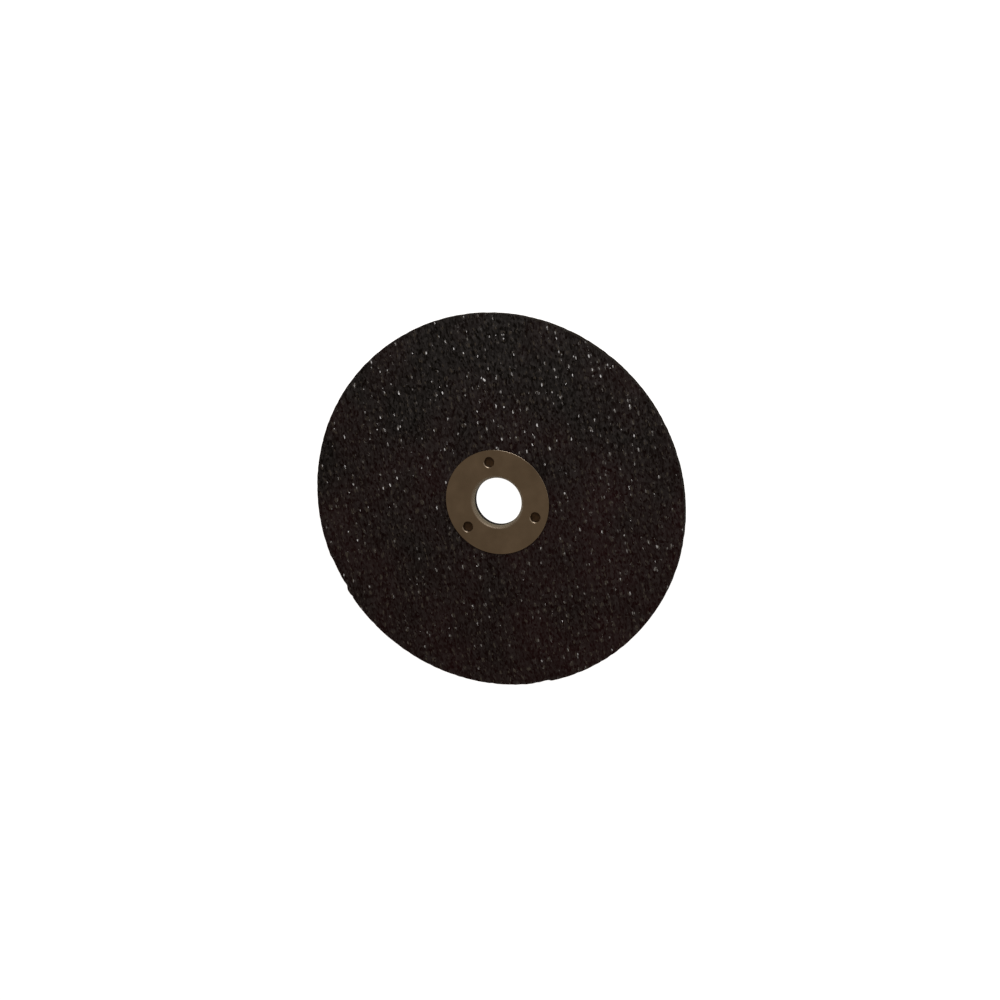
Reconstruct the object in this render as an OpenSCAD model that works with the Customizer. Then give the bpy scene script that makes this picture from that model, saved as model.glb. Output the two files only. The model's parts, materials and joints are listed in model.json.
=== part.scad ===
// Cut off wheel: a thin resin-bonded abrasive disc with a drawn steel bush in its centre.
// The wheel lies on its back face, with its axis along Z and the bush's flange on top.

/* [Abrasive disc] */
// Outside diameter of the wheel
wheel_d = 76.2; // [40:0.1:88]
// Thickness of the disc over the crowns of its two cloth faces
wheel_t = 1.6; // [1.4:0.05:3.2]

/* [Glass cloth] */
// Spacing of the warp threads, which run along Y
warp_pitch = 1.5; // [1.4:0.02:3]
// Spacing of the weft threads, which run along X
weft_pitch = 1.42; // [1.32:0.02:3]
// Height of the warp's crowns above the weft between them
cloth_relief = 0.12; // [0.04:0.02:0.2]

/* [Centre bush] */
// Bore of the bush, which slides on the arbor
bore_d = 9.6; // [6.4:0.05:16]
// Outside diameter of the flange
flange_d = 21.4; // [20:0.1:30]
// Thickness of the steel sheet
sheet_t = 0.4; // [0.25:0.05:0.6]
// Radius of the rolled lip between flange and bore, on its visible side
lip_r = 1; // [0.8:0.05:1.2]
// Height of the flange above the disc's face
flange_proud = 0.2; // [0.05:0.05:0.4]
// Radius of the flange's sheared outer edge
flange_edge_r = 0.1; // [0.05:0.01:0.15]
// Distance from the disc's back face up to the end of the collar
collar_inset = 0.1; // [0:0.05:0.3]

/* [Stakes] */
// Number of stake holes punched through the flange
stake_count = 3; // [2:1:6]
// Diameter of each stake hole
stake_d = 1.9; // [1:0.1:2.4]
// Radius of the edge that the punch drew in round each hole
stake_lip_r = 0.4; // [0.1:0.05:0.4]
// Wall of the barb that the punch drew down under the flange
stake_wall = 0.2; // [0.1:0.05:0.25]
// Depth that the barb bites into the disc
stake_bite = 0.4; // [0.2:0.05:0.6]

/* [Rim chips] */
// Length along the rim of the long chip
long_chip_l = 7; // [2:0.5:10]
// Depth of the long chip
long_chip_depth = 0.3; // [0.1:0.05:0.5]
// Place of the long chip, in degrees round from the first stake hole
long_chip_at = 106; // [0:1:359]
// Length along the rim of the short chip
short_chip_l = 4.2; // [1:0.2:6]
// Depth of the short chip
short_chip_depth = 0.25; // [0.1:0.05:0.5]
// Place of the short chip, in degrees round from the first stake hole
short_chip_at = 182; // [0:1:359]

/* [Fits] */
// Gap between the bush and the disc on their round faces, filled by the bond
bond_gap = 0.03; // [0.01:0.01:0.1]

/* [Hidden] */
$fn = 128;

wheel_r = wheel_d / 2;
bore_r = bore_d / 2;
flange_r = flange_d / 2;
collar_r = bore_r + sheet_t;
flange_top = wheel_t + flange_proud;
flange_under = flange_top - sheet_t;

// Threads counted each way from the axis, which lies midway between two of them
warp_threads = ceil(wheel_r / warp_pitch) + 1;
weft_threads = ceil(wheel_r / weft_pitch) + 1;

// The lip's arcs turn about one centre, which is also where the flange's flat starts
lip_centre_r = bore_r + lip_r;
lip_centre_z = flange_top - lip_r;
bend_r = lip_r - sheet_t;

// The stakes stand halfway across the flange's flat, the first one at +Y
stake_circle_r = (lip_centre_r + flange_r) / 2;
first_stake_angle = 90;
stake_z = flange_under - stake_bite;
barb_r = stake_d / 2 + stake_wall;

// Cutting shapes run this far past the faces they cut
over = 1;

// Waste outside a quarter round of radius r, whose square corner is at the origin
module corner_waste(r) {
    difference() {
        translate([-r, -r]) square(r + over);
        translate([-r, -r]) circle(r);
    }
}

// Place of the crossing of warp i and weft j, on the side of the cloth at height z.
// The warp rises at every second crossing, and the face sinks by the relief at the others.
function crossing(i, j, z, inward) =
    [(i + 0.5) * warp_pitch, (j + 0.5) * weft_pitch, z + inward * abs(i + j) % 2 * cloth_relief];

// Number of that crossing in a face's list of points
function place(i, j) = (i + warp_threads) * 2 * weft_threads + j + weft_threads;

// Whether any of the cell between crossings i, j and i + 1, j + 1 lies in the wheel
function in_wheel(i, j) =
    norm([max(abs(i + 1) - 0.5, 0) * warp_pitch, max(abs(j + 1) - 0.5, 0) * weft_pitch]) < wheel_r;

// Slab a little wider than the wheel, with the crowns of the glass cloth on both faces
module woven_slab() {
    warps = [-warp_threads : warp_threads - 1];
    wefts = [-weft_threads : weft_threads - 1];
    front = [for (i = warps, j = wefts) crossing(i, j, wheel_t, -1)];
    back = [for (i = warps, j = wefts) crossing(i, j, 0, 1)];
    n = len(front);
    cells = [for (i = warps, j = wefts) if (in_wheel(i, j)) [i, j]];
    // Each cell is folded between its two low corners, so that every crown is a low pyramid
    folds = [
        for (cell = cells)
            let (
                i = cell[0], j = cell[1],
                a = place(i, j), b = place(i + 1, j), c = place(i + 1, j + 1), d = place(i, j + 1)
            )
                each abs(i + j) % 2 == 0
                    ? [[a, d, b], [c, b, d], [n + a, n + b, n + d], [n + c, n + d, n + b]]
                    : [[a, c, b], [a, d, c], [n + a, n + b, n + c], [n + a, n + c, n + d]]
    ];
    // The slab's stepped sides, all outside the wheel
    sides = [
        for (cell = cells)
            let (
                i = cell[0], j = cell[1],
                a = place(i, j), b = place(i + 1, j), c = place(i + 1, j + 1), d = place(i, j + 1)
            )
                each [
                    if (!in_wheel(i - 1, j)) [a, n + a, n + d, d],
                    if (!in_wheel(i + 1, j)) [c, n + c, n + b, b],
                    if (!in_wheel(i, j - 1)) [b, n + b, n + a, a],
                    if (!in_wheel(i, j + 1)) [d, n + d, n + c, c]
                ]
    ];
    polyhedron(concat(front, back), concat(folds, sides));
}

// Half section that the slab is cut to: the rim, the bush's bore and the flange's seat
module disc_section() {
    disc_bore_r = collar_r + bond_gap;
    difference() {
        translate([disc_bore_r, -over]) square([wheel_r - disc_bore_r, wheel_t + 2 * over]);
        translate([0, flange_under]) square([flange_r + bond_gap, flange_top + over]);
        translate([disc_bore_r, flange_under]) mirror([1, 0]) corner_waste(bend_r);
    }
}

// Half section of the bush: flange, rolled lip and collar, bent from one sheet
module bush_section() {
    difference() {
        translate([lip_centre_r, flange_under]) square([flange_r - lip_centre_r, sheet_t]);
        translate([flange_r, flange_top]) corner_waste(flange_edge_r);
    }
    translate([bore_r, collar_inset]) square([sheet_t, lip_centre_z - collar_inset]);
    translate([lip_centre_r, lip_centre_z])
        intersection() {
            difference() {
                circle(lip_r);
                circle(bend_r);
            }
            translate([-lip_r, 0]) square(lip_r);
        }
}

// Puts its children at each stake
module at_stakes() {
    for (i = [0 : stake_count - 1])
        rotate(first_stake_angle + i * 360 / stake_count)
            translate([stake_circle_r, 0, 0])
                children();
}

// Punched hole with its drawn-in edge, to be cut out of the flange
module stake_hole() {
    mouth_r = stake_d / 2 + stake_lip_r;
    mouth_z = flange_top - stake_lip_r;
    rotate_extrude()
        union() {
            translate([0, stake_z - over]) square([stake_d / 2, flange_top - stake_z + 2 * over]);
            difference() {
                translate([0, mouth_z]) square([mouth_r, stake_lip_r + over]);
                translate([mouth_r, mouth_z]) circle(stake_lip_r);
            }
        }
}

// Scallop that a chip leaves in the rim: one sphere, sunk by the chip's depth at its middle
module rim_chip(l, depth, at) {
    chip_r = (pow(l / 2, 2) + pow(depth, 2)) / (2 * depth);
    rotate(first_stake_angle + at)
        translate([wheel_r - depth + chip_r, 0, wheel_t])
            sphere(chip_r);
}

module abrasive_disc() {
    color([0.12, 0.1, 0.095])
        difference() {
            intersection() {
                woven_slab();
                rotate_extrude() disc_section();
            }
            at_stakes()
                translate([0, 0, stake_z]) cylinder(r = barb_r + bond_gap, h = stake_bite + over);
            rim_chip(long_chip_l, long_chip_depth, long_chip_at);
            rim_chip(short_chip_l, short_chip_depth, short_chip_at);
        }
}

module centre_bush() {
    color([0.42, 0.36, 0.29])
        difference() {
            union() {
                rotate_extrude() bush_section();
                at_stakes()
                    translate([0, 0, stake_z]) cylinder(r = barb_r, h = stake_bite + sheet_t / 2);
            }
            at_stakes() stake_hole();
        }
}

abrasive_disc();
centre_bush();
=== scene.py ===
import json
import math

import bmesh
import bpy
import numpy as np
from mathutils import Matrix, Vector, geometry


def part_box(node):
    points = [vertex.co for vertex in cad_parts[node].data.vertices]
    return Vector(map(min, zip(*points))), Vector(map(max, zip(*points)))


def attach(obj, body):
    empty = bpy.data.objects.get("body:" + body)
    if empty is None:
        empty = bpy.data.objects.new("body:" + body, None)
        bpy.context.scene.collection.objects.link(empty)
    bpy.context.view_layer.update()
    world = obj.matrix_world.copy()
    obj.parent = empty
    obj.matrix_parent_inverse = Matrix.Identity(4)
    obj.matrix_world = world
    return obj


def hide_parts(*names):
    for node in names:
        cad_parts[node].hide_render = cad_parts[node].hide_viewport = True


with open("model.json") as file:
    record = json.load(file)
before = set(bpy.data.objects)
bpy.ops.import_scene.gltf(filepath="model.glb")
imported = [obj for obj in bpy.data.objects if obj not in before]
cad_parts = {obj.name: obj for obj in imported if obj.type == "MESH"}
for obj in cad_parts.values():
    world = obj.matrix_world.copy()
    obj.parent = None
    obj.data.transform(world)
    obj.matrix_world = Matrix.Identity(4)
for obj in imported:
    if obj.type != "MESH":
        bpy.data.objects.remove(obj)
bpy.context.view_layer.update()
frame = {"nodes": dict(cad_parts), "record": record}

# Abrasive disc
# A thin wheel pressed from black phenolic resin and abrasive grain, with a plain-woven glass cloth
# moulded into each face. Heat cures it as one piece, and the cloth's threads stay visible as crowns.

# Lengths are in mm, and MM turns them into metres
MM = 0.001
disc_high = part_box("abrasive_disc")[1]
bush_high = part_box("centre_bush")[1]
wheel_r = disc_high.x / MM
wheel_t = disc_high.z / MM
flange_r = bush_high.x / MM
flange_top = bush_high.z / MM
bore_r = frame["record"]["mounts"][0]["dims"]["r_mm"]

# The flange's seat, the bore and the pits for the stakes, as in the solids
sheet_t = 0.4
lip_r = 1.0
bond_gap = 0.03
stake_d = 1.9
stake_wall = 0.2
stake_bite = 0.4
stake_angles = [90, 210, 330]
seat_r = flange_r + bond_gap
seat_z = flange_top - sheet_t
disc_bore_r = bore_r + sheet_t + bond_gap
bend_r = lip_r - sheet_t
pit_r = stake_d / 2 + stake_wall + bond_gap
stake_circle_r = (bore_r + lip_r + flange_r) / 2

# The threads lie where the solids' crowns are: warp along Y, weft along X. Each is a round ridge that
# rises and sinks at the crossings, and resin fills the hollows up to its own level.
warp_pitch = 1.5
weft_pitch = 1.42
warp_w = 1.25
weft_w = 1.2
warp_rise = 0.055
weft_rise = 0.035
weft_drop = 0.03
warp_crown = 0.1
weft_crown = 0.09
resin_level = -0.15
grain_size = 0.012

# No thread lies quite straight: each one wanders a little, in slow waves along X and Y
wander = 0.12
warp_wave_mm = (9.0, 4.1)
weft_wave_mm = (3.7, 8.0)

# Every crown has its own height, place and wear, and is worn bare only round its middle
threads = 64
lift_spread = 0.03
shift_spread = 0.1
least_wear = 0.1
weft_wear = 0.4
bare_from = 0.25
bare_fade = 0.5
chance = np.random.default_rng(20)
crown_lift = chance.uniform(-lift_spread, 0.0, (threads, threads))
crown_shift = chance.uniform(-shift_spread, shift_spread, (threads, threads))
crown_wear = chance.uniform(least_wear, 1.0, (threads, threads))


def cloth(x, y):
    """Height of the face at x, y in mm, from its highest crowns, and how far a crown is worn bare."""
    drift_x = wander * np.sin(y / warp_wave_mm[1] + x / warp_wave_mm[0])
    drift_y = wander * np.sin(x / weft_wave_mm[0] + y / weft_wave_mm[1])
    x, y = x + drift_x, y + drift_y
    i = np.floor(x / warp_pitch).astype(int)
    j = np.floor(y / weft_pitch).astype(int)
    along_x = x - (i + 0.5) * warp_pitch
    along_y = y - (j + 0.5) * weft_pitch
    warp_over = np.where((i + j) % 2 == 0, 1.0, -1.0)
    sway_x = np.cos(math.pi * along_x / warp_pitch)
    sway_y = np.cos(math.pi * along_y / weft_pitch)
    lift = crown_lift[i % threads, j % threads] * sway_x * sway_y
    shift = crown_shift[i % threads, j % threads]
    across_warp = np.clip(2 * (along_x - shift * sway_y) / warp_w, -1, 1)
    across_weft = np.clip(2 * (along_y - shift * sway_x) / weft_w, -1, 1)
    warp_round = warp_crown * (np.sqrt(1 - across_warp ** 2) - 1)
    weft_round = weft_crown * (np.sqrt(1 - across_weft ** 2) - 1)
    warp = warp_rise * (warp_over * sway_y - 1) + warp_round
    weft = weft_rise * (-warp_over * sway_x - 1) + weft_round - weft_drop
    wear = crown_wear[i % threads, j % threads] * np.where(warp_over > 0, 1.0, weft_wear)
    bare = wear * np.clip((sway_x ** 2 * sway_y - bare_from) / bare_fade, 0, 1)
    return np.clip(np.maximum(warp, weft) + lift, resin_level, 0), bare


# Two chips in the rim: the angles where each starts, deepens and ends, and its depth there in mm.
# A depth below zero is a tooth left standing. Between the chips the pressed edge is a little uneven,
# with a small nick here and there.
rim_chips = [
    (
        [189.3, 190.5, 191.8, 195.8, 197.5, 199.2, 200.1, 201.4, 202.4, 203.0, 203.6, 204.3],
        [0, 0.14, 0.26, 0.28, 0.18, 0.38, 0.34, 0, -0.08, 0, 0.18, 0],
    ),
    (
        [268.8, 270.5, 271.3, 272.6, 274.2, 274.7, 275.2, 277.5],
        [0, 0.2, 0.14, 0.24, 0.3, 0.24, 0.06, 0],
    ),
]
rim_points = 1080
nick_count = 300
nick_depth = 0.08
nick_rarity = 3
nicks = nick_depth * chance.uniform(0.0, 1.0, nick_count) ** nick_rarity


def rim_radius(angle):
    """Radius of the rim at an angle in degrees, with nicks and chips taken out of it."""
    radius = wheel_r - np.interp(angle % 360, np.linspace(0, 360, len(nicks)), nicks, period=360)
    for angles, depths in rim_chips:
        radius -= np.interp(angle % 360, angles, depths)
    return radius


def circle(radius, count):
    """Points on a circle round the wheel's axis."""
    turn = np.arange(count) * 2 * math.pi / count
    return np.stack([radius * np.cos(turn), radius * np.sin(turn)], axis=1)


def filled(points, loops, wanted):
    """Triangles over points and closed loops of points, where wanted(x, y) holds at their middle."""
    same_place_mm = 1e-7
    everything = np.concatenate([points] + loops)
    edges = []
    start = len(points)
    for loop in loops:
        count = len(loop)
        edges += [(start + k, start + (k + 1) % count) for k in range(count)]
        start += count
    corners = [Vector(p) for p in everything.tolist()]
    found = geometry.delaunay_2d_cdt(corners, edges, [], 0, same_place_mm)
    places = np.array([tuple(v) for v in found[0]])
    triangles = np.array(found[2])
    middle = places[triangles].mean(axis=1)
    return places, triangles[wanted(middle[:, 0], middle[:, 1])]


parts = []
cloth_side, rim_side, pit_side = range(3)


def add_part(points, faces, bare=0.0, material=cloth_side):
    """Keeps a patch of the disc's skin, in mm, until all of them are joined."""
    points = np.asarray(points, float)
    parts.append((points, faces, np.broadcast_to(bare, len(points)), np.full(len(faces), material)))


def on_face(x, y, inner_r, margin):
    """Whether a place lies between inner_r and the rim, and at least margin from both."""
    radius = np.hypot(x, y)
    outer_r = rim_radius(np.degrees(np.arctan2(y, x)))
    return (radius > inner_r + margin) & (radius < outer_r - margin)


rim_turn = np.arange(rim_points) * 360 / rim_points
rim_outline = circle(1.0, rim_points) * rim_radius(rim_turn)[:, None]


def woven_face(per_warp, per_weft, inner_r, inner_points, z, facing):
    """One cloth face from inner_r to the rim, with its crowns at height z and grain all over it."""
    columns = np.arange(-threads * per_warp, threads * per_warp) + 0.5
    rows = np.arange(-threads * per_weft, threads * per_weft) + 0.5
    x, y = np.meshgrid(columns * warp_pitch / per_warp, rows * weft_pitch / per_weft)
    x, y = x.ravel(), y.ravel()
    half_column = 0.5 * warp_pitch / per_warp
    edge_band = 0.1 * half_column
    inside = on_face(x, y, inner_r, half_column)
    grid = np.stack([x[inside], y[inside]], axis=1)
    loops = [rim_outline, circle(inner_r, inner_points)]
    places, triangles = filled(grid, loops, lambda mx, my: on_face(mx, my, inner_r, 0.0))
    height, bare = cloth(places[:, 0], places[:, 1])
    # The points on the two edges get no grain, because the next patch has to meet them
    off_edge = on_face(places[:, 0], places[:, 1], inner_r, edge_band)
    height = np.minimum(height + chance.normal(0, grain_size, len(places)) * off_edge, 0)
    points = np.column_stack([places, z + facing * height])
    add_part(points, triangles if facing > 0 else triangles[:, ::-1], bare)


seat_points = 300
bore_points = 180
woven_face(per_warp=6, per_weft=5, inner_r=seat_r, inner_points=seat_points, z=wheel_t, facing=1)
woven_face(per_warp=4, per_weft=3, inner_r=disc_bore_r, inner_points=bore_points, z=0.0, facing=-1)


def lathe(profile, count, outline=None):
    """Skin turned from a profile of radius and height, top to bottom, or of steps out of an outline."""
    rings = []
    for radius, height in profile:
        ring = circle(radius, count) if outline is None else outline * (1 + radius / wheel_r)
        rings.append(np.column_stack([ring, np.broadcast_to(height, count)]))
    k = np.arange(count)
    faces = []
    for row in range(len(profile) - 1):
        a, b = row * count + k, row * count + (k + 1) % count
        faces.append(np.column_stack([a, a + count, b]))
        faces.append(np.column_stack([b, a + count, b + count]))
    return np.concatenate(rings), np.concatenate(faces)


# The rim is the raw moulded edge, uneven with grain between the crowns of the two faces
rim_rows = 9
rim_grain = 0.035
rim_top = wheel_t + cloth(rim_outline[:, 0], rim_outline[:, 1])[0]
rim_under = wheel_t - rim_top
rim_profile = []
for row in range(rim_rows):
    share = row / (rim_rows - 1)
    inner = 0 if row in (0, rim_rows - 1) else 1
    radius = inner * chance.normal(-rim_grain, rim_grain, rim_points)[:, None]
    rim_profile.append((np.minimum(radius, 0), rim_top * (1 - share) + rim_under * share))
add_part(*lathe(rim_profile, rim_points, rim_outline), material=rim_side)

# Under the flange lie its moulded seat, the pits that the stakes bite into, and the bore
seat_edge = wheel_t + cloth(*circle(seat_r, seat_points).T)[0]
seat_wall, seat_wall_faces = lathe([(seat_r, seat_edge), (seat_r, seat_z)], seat_points)
add_part(seat_wall, seat_wall_faces[:, ::-1])
pit_points = 40
pit_floor = seat_z - stake_bite
pit_rings = (1, 0.7, 0.35, 0)
pit_centres = [
    stake_circle_r * np.array([np.cos(angle), np.sin(angle)]) for angle in np.radians(stake_angles)
]
pit_loops = [circle(pit_r, pit_points) + centre for centre in pit_centres]


def on_seat(x, y):
    """Whether a place lies on the flat of the seat, outside the bend and the pits."""
    clear = np.hypot(x, y) > disc_bore_r + bend_r
    for centre in pit_centres:
        clear &= np.hypot(x - centre[0], y - centre[1]) > pit_r
    return clear


seat_loops = [circle(seat_r, seat_points), circle(disc_bore_r + bend_r, bore_points)] + pit_loops
seat, seat_faces = filled(np.zeros((0, 2)), seat_loops, on_seat)
add_part(np.column_stack([seat, np.full(len(seat), seat_z)]), seat_faces)
for centre in pit_centres:
    pit_profile = [(pit_r, seat_z)] + [(share * pit_r, pit_floor) for share in pit_rings]
    pit, pit_faces = lathe(pit_profile, pit_points)
    add_part(pit + [centre[0], centre[1], 0], pit_faces[:, ::-1], material=pit_side)
bend_steps = 9
bore_profile = [
    (disc_bore_r + bend_r * (1 - np.sin(turn)), seat_z - bend_r * (1 - np.cos(turn)))
    for turn in np.radians(np.linspace(0, 90, bend_steps))
]
bore_under = -cloth(*circle(disc_bore_r, bore_points).T)[0]
bore_wall, bore_faces = lathe(bore_profile + [(disc_bore_r, bore_under)], bore_points)
add_part(bore_wall, bore_faces[:, ::-1])

# The patches are joined and welded along their edges into one closed skin
weld_mm = 0.002
sharp_angle = math.radians(55)
starts = np.cumsum([0] + [len(part[0]) for part in parts])
disc_points = np.concatenate([part[0] for part in parts])
disc_faces = np.concatenate([part[1] + first for part, first in zip(parts, starts)])
disc_bare = np.concatenate([part[2] for part in parts]).astype(np.float32)
disc_sides = np.concatenate([part[3] for part in parts]).astype(np.int32)
disc_mesh = bpy.data.meshes.new("abrasive_disc_skin")
disc_mesh.from_pydata((disc_points * MM).tolist(), [], disc_faces.tolist())
disc_mesh.attributes.new("bare_crown", "FLOAT", "POINT").data.foreach_set("value", disc_bare)
disc_mesh.polygons.foreach_set("material_index", disc_sides)
skin = bmesh.new()
skin.from_mesh(disc_mesh)
bmesh.ops.remove_doubles(skin, verts=skin.verts, dist=weld_mm * MM)
skin.to_mesh(disc_mesh)
skin.free()
disc_mesh.shade_smooth()
disc_mesh.set_sharp_from_angle(angle=sharp_angle)
disc = bpy.data.objects.new("abrasive_disc_skin", disc_mesh)
bpy.context.scene.collection.objects.link(disc)


def linear(hex_colour):
    """Linear RGBA from an sRGB hex colour."""
    shares = [int(hex_colour[k:k + 2], 16) / 255 for k in (1, 3, 5)]
    return tuple(s / 12.92 if s <= 0.04045 else ((s + 0.055) / 1.055) ** 2.4 for s in shares) + (1.0,)


def empty_material(name):
    """A new material without any nodes."""
    material = bpy.data.materials.new(name)
    material.use_nodes = True
    material.node_tree.nodes.clear()
    return material


def add_node(material, kind, settings=None, **links):
    """Adds a node, sets its properties and sockets, and links its inputs, by name or as _number."""
    node = material.node_tree.nodes.new(kind)
    for name, value in (settings or {}).items():
        if isinstance(name, str) and hasattr(node, name):
            setattr(node, name, value)
        else:
            node.inputs[name].default_value = value
    for name, source in links.items():
        number = name[1:]
        socket = node.inputs[int(number) if number.isdigit() else name.replace("_", " ")]
        material.node_tree.links.new(source, socket)
    return node


# Phenolic resin with silicon carbide grain over glass cloth: near black, with faint brown clouds where
# it cured hotter, and dull. It is greyer on the crowns, partly worn grain and partly painted sheen, and
# there broken facets of carbide, some dull and some bright as dark metal, throw small glints. Grain and
# facets are drawn out along the warp.
resin = empty_material("resin_bonded_abrasive")
grain_mm = (0.28, 0.58, 0.3)
facet_mm = (0.2, 0.55, 0.2)
cloud_mm = 14.0
hollow_resin = linear("#0c0908")
brown_resin = linear("#280f14")
crown_grey_and_sheen_tone = linear("#72737a")
bare_carbide = linear("#7b7e83")
cure_spread = 0.2
cloud_from, cloud_to = 0.3, 0.7
hollow_grey, crown_share_and_sheen = 0.25, 0.5
bare_share = 0.46
resin_lean, carbide_lean = 0.4, 1.2
dull_facet, bright_facet = 0.55, 0.18
grain_bump_mm = 0.05
resin_ior = 1.6
place = add_node(resin, "ShaderNodeTexCoord").outputs["Object"]

# Clouds, browner towards one side of the wheel. A colour mix has its two colours at inputs 6 and 7.
cloud = add_node(
    resin, "ShaderNodeTexNoise", {"Scale": 1 / (cloud_mm * MM), "Detail": 4.0}, Vector=place
)
across = add_node(resin, "ShaderNodeSeparateXYZ", Vector=place)
cure = add_node(
    resin, "ShaderNodeMapRange",
    {"From Min": wheel_r * MM, "From Max": -wheel_r * MM, "To Min": -cure_spread, "To Max": cure_spread},
    Value=across.outputs["Y"],
)
cured = add_node(
    resin, "ShaderNodeMath", {"operation": "ADD"}, _0=cloud.outputs["Fac"], _1=cure.outputs["Result"]
)
browned = add_node(
    resin, "ShaderNodeMapRange", {"From Min": cloud_from, "From Max": cloud_to},
    Value=cured.outputs["Value"],
)
body_tone = add_node(
    resin, "ShaderNodeMix", {"data_type": "RGBA", 6: hollow_resin, 7: brown_resin},
    _0=browned.outputs["Result"],
)

# Grain, each one of its own grey, and lighter on the crowns, which is partly painted sheen
drawn_out = add_node(
    resin, "ShaderNodeMapping", {"Scale": [1 / (s * MM) for s in grain_mm]}, Vector=place
)
grain = add_node(resin, "ShaderNodeTexVoronoi", {"Scale": 1.0}, Vector=drawn_out.outputs["Vector"])
grain_draw = add_node(resin, "ShaderNodeSeparateColor", Color=grain.outputs["Color"])
crown = add_node(resin, "ShaderNodeAttribute", {"attribute_name": "bare_crown"})
# The crowns' lighter grey is partly worn grain and partly painted sheen
grey = add_node(
    resin, "ShaderNodeMapRange", {"To Min": hollow_grey, "To Max": crown_share_and_sheen},
    Value=crown.outputs["Fac"],
)
grain_and_sheen_grey = add_node(
    resin, "ShaderNodeMath", {"operation": "MULTIPLY"},
    _0=grey.outputs["Result"], _1=grain_draw.outputs["Red"],
)
resin_tone = add_node(
    resin, "ShaderNodeMix", {"data_type": "RGBA", 7: crown_grey_and_sheen_tone},
    _0=grain_and_sheen_grey.outputs["Value"], _6=body_tone.outputs[2],
)
grain_bump = add_node(
    resin, "ShaderNodeBump", {"Strength": 0.35, "Distance": grain_bump_mm * MM},
    Height=grain.outputs["Distance"],
)

# Facets: a worn crown has the most bare ones. Each leans its own way, by the cell's random colour
# moved to lie round zero, and has its own polish.
split = add_node(resin, "ShaderNodeMapping", {"Scale": [1 / (s * MM) for s in facet_mm]}, Vector=place)
facet = add_node(resin, "ShaderNodeTexVoronoi", {"Scale": 1.0}, Vector=split.outputs["Vector"])
facet_draw = add_node(resin, "ShaderNodeSeparateColor", Color=facet.outputs["Color"])
kept_share = add_node(
    resin, "ShaderNodeMapRange", {"To Min": 1.0, "To Max": 1 - bare_share}, Value=crown.outputs["Fac"]
)
bare = add_node(
    resin, "ShaderNodeMath", {"operation": "GREATER_THAN"},
    _0=facet_draw.outputs["Blue"], _1=kept_share.outputs["Result"],
)
skin_tone = add_node(
    resin, "ShaderNodeMix", {"data_type": "RGBA", 7: bare_carbide},
    _0=bare.outputs["Value"], _6=resin_tone.outputs[2],
)
lean = add_node(
    resin, "ShaderNodeVectorMath", {"operation": "MULTIPLY_ADD", 1: (1, 1, 0), 2: (-0.5, -0.5, 0)},
    _0=facet.outputs["Color"],
)
lean_share = add_node(
    resin, "ShaderNodeMapRange", {"To Min": resin_lean, "To Max": carbide_lean},
    Value=bare.outputs["Value"],
)
lean_amount = add_node(
    resin, "ShaderNodeVectorMath", {"operation": "SCALE"},
    _0=lean.outputs["Vector"], Scale=lean_share.outputs["Result"],
)
leaning = add_node(
    resin, "ShaderNodeVectorMath", {"operation": "ADD"},
    _0=grain_bump.outputs["Normal"], _1=lean_amount.outputs["Vector"],
)
facet_normal = add_node(
    resin, "ShaderNodeVectorMath", {"operation": "NORMALIZE"}, _0=leaning.outputs["Vector"]
)
facet_polish = add_node(
    resin, "ShaderNodeMapRange",
    {"From Min": 1 - bare_share, "To Min": dull_facet, "To Max": bright_facet},
    Value=facet_draw.outputs["Blue"],
)
resin_shader = add_node(
    resin, "ShaderNodeBsdfPrincipled", {"IOR": resin_ior, "Specular IOR Level": 0.06},
    Base_Color=skin_tone.outputs[2], Metallic=bare.outputs["Value"],
    Roughness=facet_polish.outputs["Result"], Normal=facet_normal.outputs["Vector"],
)
add_node(resin, "ShaderNodeOutputMaterial", Surface=resin_shader.outputs["BSDF"])
disc_mesh.materials.append(resin)

# The same pressed mix at the bare rim, without cloth: grain breaks it up, so it is dull and sooty
edge_mix = empty_material("pressed_abrasive_edge")
edge_grain_mm = 0.36
edge_bump_mm = 0.06
sooty_mix = linear("#100d0b")
grey_grain = linear("#2c2721")
edge_place = add_node(edge_mix, "ShaderNodeTexCoord").outputs["Object"]
edge_grain = add_node(
    edge_mix, "ShaderNodeTexVoronoi", {"Scale": 1 / (edge_grain_mm * MM)}, Vector=edge_place
)
edge_tone = add_node(
    edge_mix, "ShaderNodeMix", {"data_type": "RGBA", 6: sooty_mix, 7: grey_grain},
    _0=edge_grain.outputs["Color"],
)
edge_bump = add_node(
    edge_mix, "ShaderNodeBump", {"Strength": 0.5, "Distance": edge_bump_mm * MM},
    Height=edge_grain.outputs["Distance"],
)
edge_shader = add_node(
    edge_mix, "ShaderNodeBsdfPrincipled",
    {"Roughness": 0.95, "IOR": resin_ior, "Specular IOR Level": 0.05},
    Base_Color=edge_tone.outputs[2], Normal=edge_bump.outputs["Normal"],
)
add_node(edge_mix, "ShaderNodeOutputMaterial", Surface=edge_shader.outputs["BSDF"])
disc_mesh.materials.append(edge_mix)

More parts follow.
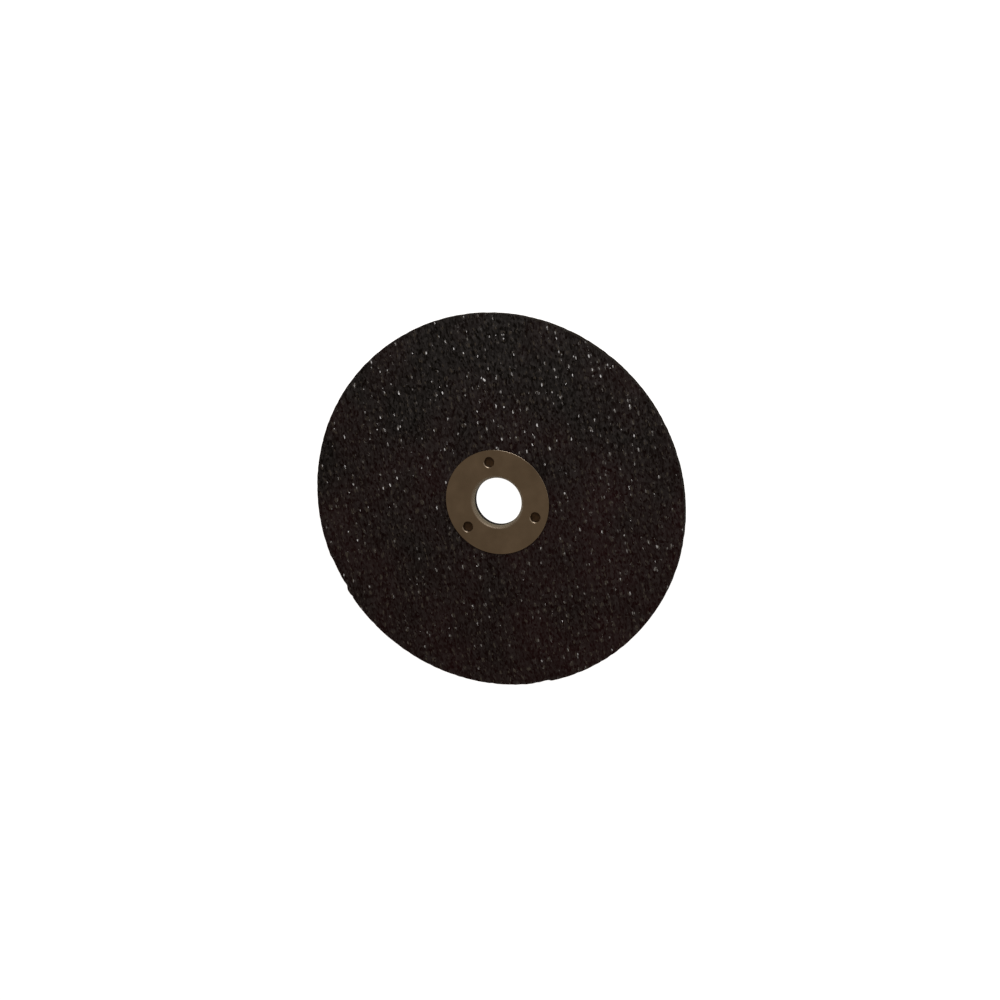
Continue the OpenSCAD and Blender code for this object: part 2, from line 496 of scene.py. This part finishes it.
# Phenolic resin that the stakes squeezed out of the mix: brown, cloudy and a little shiny in the pits
pit_resin = empty_material("phenolic_resin")
blotch_mm = 0.6
blotch_bump_mm = 0.1
dark_resin = linear("#1d140c")
amber_resin = linear("#5f4730")
pit_place = add_node(pit_resin, "ShaderNodeTexCoord").outputs["Object"]
blotch = add_node(
    pit_resin, "ShaderNodeTexNoise", {"Scale": 1 / (blotch_mm * MM), "Detail": 3.0}, Vector=pit_place
)
pit_tone = add_node(
    pit_resin, "ShaderNodeMix", {"data_type": "RGBA", 6: dark_resin, 7: amber_resin},
    _0=blotch.outputs["Fac"],
)
pit_bump = add_node(
    pit_resin, "ShaderNodeBump", {"Strength": 0.6, "Distance": blotch_bump_mm * MM},
    Height=blotch.outputs["Fac"],
)
pit_shader = add_node(
    pit_resin, "ShaderNodeBsdfPrincipled",
    {"Roughness": 0.4, "IOR": resin_ior, "Specular IOR Level": 0.3},
    Base_Color=pit_tone.outputs[2], Normal=pit_bump.outputs["Normal"],
)
add_node(pit_resin, "ShaderNodeOutputMaterial", Surface=pit_shader.outputs["BSDF"])
disc_mesh.materials.append(pit_resin)
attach(disc, "root")
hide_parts("abrasive_disc")

# Centre bush
# A bush drawn from one disc of thin steel sheet: a flat flange, a rolled lip and a short collar.
# Three punched stakes bite into the disc, so that the bush can't turn in it.

# Drawn sheet steel: a dull warm grey with stains and faint rolling lines. The lip has lost its polish
# where it turns down into the bore, and the bore's wall below the lip is coloured near black as painted
# shade, fading out up the lip. Real rolling lines are too fine to show, so these are drawn several times
# wider.
steel = empty_material("drawn_sheet_steel")
roll_mm = (0.12, 6.0, 1.0)
stain_mm = 3.0
roll_bump_mm = 0.004
stained_steel = linear("#998f83")
clean_steel = linear("#c2b8ab")
dull_lip = linear("#8a8474")
# Painted shade: the near-black colour of the bore's wall below the lip
painted_bore_shade = linear("#120e0b")
lip_from_r, lip_to_r = bore_r + 0.75, bore_r + 0.05
full_shade_z, lip_starts_z = 0.95, 1.2
roll_polish = (0.2, 0.28)
lip_roughness = 0.9
steel_place = add_node(steel, "ShaderNodeTexCoord").outputs["Object"]
rolled = add_node(
    steel, "ShaderNodeMapping", {"Scale": [1 / (s * MM) for s in roll_mm]}, Vector=steel_place
)
lines = add_node(
    steel, "ShaderNodeTexNoise", {"Scale": 1.0, "Detail": 2.0}, Vector=rolled.outputs["Vector"]
)
stain = add_node(
    steel, "ShaderNodeTexNoise", {"Scale": 1 / (stain_mm * MM), "Detail": 3.0}, Vector=steel_place
)
flange_tone = add_node(
    steel, "ShaderNodeMix", {"data_type": "RGBA", 6: stained_steel, 7: clean_steel},
    _0=stain.outputs["Fac"],
)
flat_place = add_node(
    steel, "ShaderNodeVectorMath", {"operation": "MULTIPLY", 1: (1, 1, 0)}, _0=steel_place
)
from_axis = add_node(
    steel, "ShaderNodeVectorMath", {"operation": "LENGTH"}, _0=flat_place.outputs["Vector"]
)
in_bore = add_node(
    steel, "ShaderNodeMapRange", {"From Min": lip_from_r * MM, "From Max": lip_to_r * MM},
    Value=from_axis.outputs["Value"],
)
steel_axes = add_node(steel, "ShaderNodeSeparateXYZ", Vector=steel_place)
# Painted shade: the wall is fully dark low in the bore and fades out up the lip
painted_shade_line = add_node(
    steel, "ShaderNodeMapRange", {"From Min": full_shade_z * MM, "From Max": lip_starts_z * MM},
    Value=steel_axes.outputs["Z"],
)
bore_tone = add_node(
    steel, "ShaderNodeMix", {"data_type": "RGBA", 6: painted_bore_shade, 7: dull_lip},
    _0=painted_shade_line.outputs["Result"],
)
steel_tone = add_node(
    steel, "ShaderNodeMix", {"data_type": "RGBA"},
    _0=in_bore.outputs["Result"], _6=flange_tone.outputs[2], _7=bore_tone.outputs[2],
)
bare_metal = add_node(
    steel, "ShaderNodeMapRange", {"To Min": 1.0, "To Max": 0.0}, Value=in_bore.outputs["Result"]
)
polish = add_node(
    steel, "ShaderNodeMapRange", {"To Min": roll_polish[0], "To Max": roll_polish[1]},
    Value=lines.outputs["Fac"],
)
steel_roughness = add_node(
    steel, "ShaderNodeMix", {"data_type": "FLOAT", 3: lip_roughness},
    _0=in_bore.outputs["Result"], _2=polish.outputs["Result"],
)
roll_bump = add_node(
    steel, "ShaderNodeBump", {"Strength": 0.15, "Distance": roll_bump_mm * MM},
    Height=lines.outputs["Fac"],
)
# The low specular level is for the dull lip and the painted shade in the bore, which would mirror the
# white floor. Metal doesn't use it.
steel_shader = add_node(
    steel, "ShaderNodeBsdfPrincipled", {"Specular IOR Level": 0.1},
    Base_Color=steel_tone.outputs[2], Metallic=bare_metal.outputs["Result"],
    Roughness=steel_roughness.outputs[0], Normal=roll_bump.outputs["Normal"],
)
add_node(steel, "ShaderNodeOutputMaterial", Surface=steel_shader.outputs["BSDF"])
bush = frame["nodes"]["centre_bush"]
bush.data.materials.clear()
bush.data.materials.append(steel)

# Camera
# It looks down on the lying wheel at the photograph's angle, turned so that the same side is up.
view_elevation = math.radians(68.09)
view_azimuth = math.radians(30.99)
view_roll = math.radians(-130.85)
view_distance = 587.2 * MM
view_target = Vector((0.347, 0.18, 0.8)) * MM
focal_px = 2947.3
frame_px = 1000
sensor_mm = 36.0
back = Vector((
    math.cos(view_elevation) * math.cos(view_azimuth),
    math.cos(view_elevation) * math.sin(view_azimuth),
    math.sin(view_elevation),
))
level = Vector((0, 0, 1)).cross(back).normalized()
rise = back.cross(level)
right = math.cos(view_roll) * level + math.sin(view_roll) * rise
up = -math.sin(view_roll) * level + math.cos(view_roll) * rise
camera_data = bpy.data.cameras.new("camera")
camera_data.sensor_width = sensor_mm
camera_data.lens = sensor_mm * focal_px / frame_px
camera_data.clip_start = 0.01
camera = bpy.data.objects.new("camera", camera_data)
eye = view_target + view_distance * back
camera.matrix_world = Matrix.Translation(eye) @ Matrix((right, up, back)).transposed().to_4x4()
bpy.context.scene.collection.objects.link(camera)
bpy.context.scene.camera = camera

# Floor and light
# A plain white light table, which takes the shadows off the floor, in a dim warm room. A wide soft
# window light stands to the picture's upper right, and a small near lamp beyond its upper edge.
# Sizes here are in metres.
floor_half = 5.0
floor_corners = [(x * floor_half, y * floor_half, 0) for x, y in ((-1, -1), (1, -1), (1, 1), (-1, 1))]
floor_mesh = bpy.data.meshes.new("floor")
floor_mesh.from_pydata(floor_corners, [], [(0, 1, 2, 3)])
floor = bpy.data.objects.new("floor", floor_mesh)
bpy.context.scene.collection.objects.link(floor)

# Opal acrylic, lit from below: an even white
opal = empty_material("opal_acrylic")
opal_shader = add_node(
    opal, "ShaderNodeBsdfPrincipled",
    {
        "Base Color": linear("#d0d0d0"), "Roughness": 0.9,
        "Emission Color": linear("#ffffff"), "Emission Strength": 1.0,
    },
)
add_node(opal, "ShaderNodeOutputMaterial", Surface=opal_shader.outputs["BSDF"])
floor_mesh.materials.append(opal)

# A white wall all round closes the view above the floor. It sends no light to the wheel.
wall_r = 4.0
wall_h = 2.5
wall_points = 64
wall_ring = circle(wall_r, wall_points).tolist()
wall_places = [(x, y, z) for z in (0.0, wall_h) for x, y in wall_ring]
wall_panels = []
for k in range(wall_points):
    beside = (k + 1) % wall_points
    wall_panels.append((k, beside, wall_points + beside, wall_points + k))
backdrop_mesh = bpy.data.meshes.new("backdrop")
backdrop_mesh.from_pydata(wall_places, [], wall_panels)
backdrop_mesh.materials.append(opal)
backdrop = bpy.data.objects.new("backdrop", backdrop_mesh)
backdrop.visible_diffuse = False
backdrop.visible_glossy = False
backdrop.visible_shadow = False
bpy.context.scene.collection.objects.link(backdrop)


def add_lamp(name, shape, width, height, watts, azimuth, elevation, distance):
    """Adds an area lamp that faces the wheel, from angles in degrees and sizes in metres."""
    turn, lift = math.radians(azimuth), math.radians(elevation)
    towards = Vector((math.cos(lift) * math.cos(turn), math.cos(lift) * math.sin(turn), math.sin(lift)))
    lamp_data = bpy.data.lights.new(name, "AREA")
    lamp_data.shape = shape
    lamp_data.size = width
    lamp_data.size_y = height
    lamp_data.energy = watts
    lamp_data.color = linear("#fff6ec")[:3]
    lamp = bpy.data.objects.new(name, lamp_data)
    lamp.location = distance * towards
    lamp.rotation_euler = (-towards).to_track_quat("-Z", "Y").to_euler()
    bpy.context.scene.collection.objects.link(lamp)


add_lamp(
    "window_light", "RECTANGLE", width=0.7, height=0.16, watts=0.16,
    azimuth=38, elevation=50, distance=0.35,
)
add_lamp(
    "near_lamp", "DISK", width=0.08, height=0.08, watts=0.033,
    azimuth=76, elevation=39, distance=0.125,
)

room_light = 0.17
world = bpy.data.worlds.new("room")
bpy.context.scene.world = world
world.use_nodes = True
sky = world.node_tree.nodes["Background"]
sky.inputs["Color"].default_value = linear("#ffe0bc")
sky.inputs["Strength"].default_value = room_light
bpy.context.scene.view_settings.view_transform = "Standard"
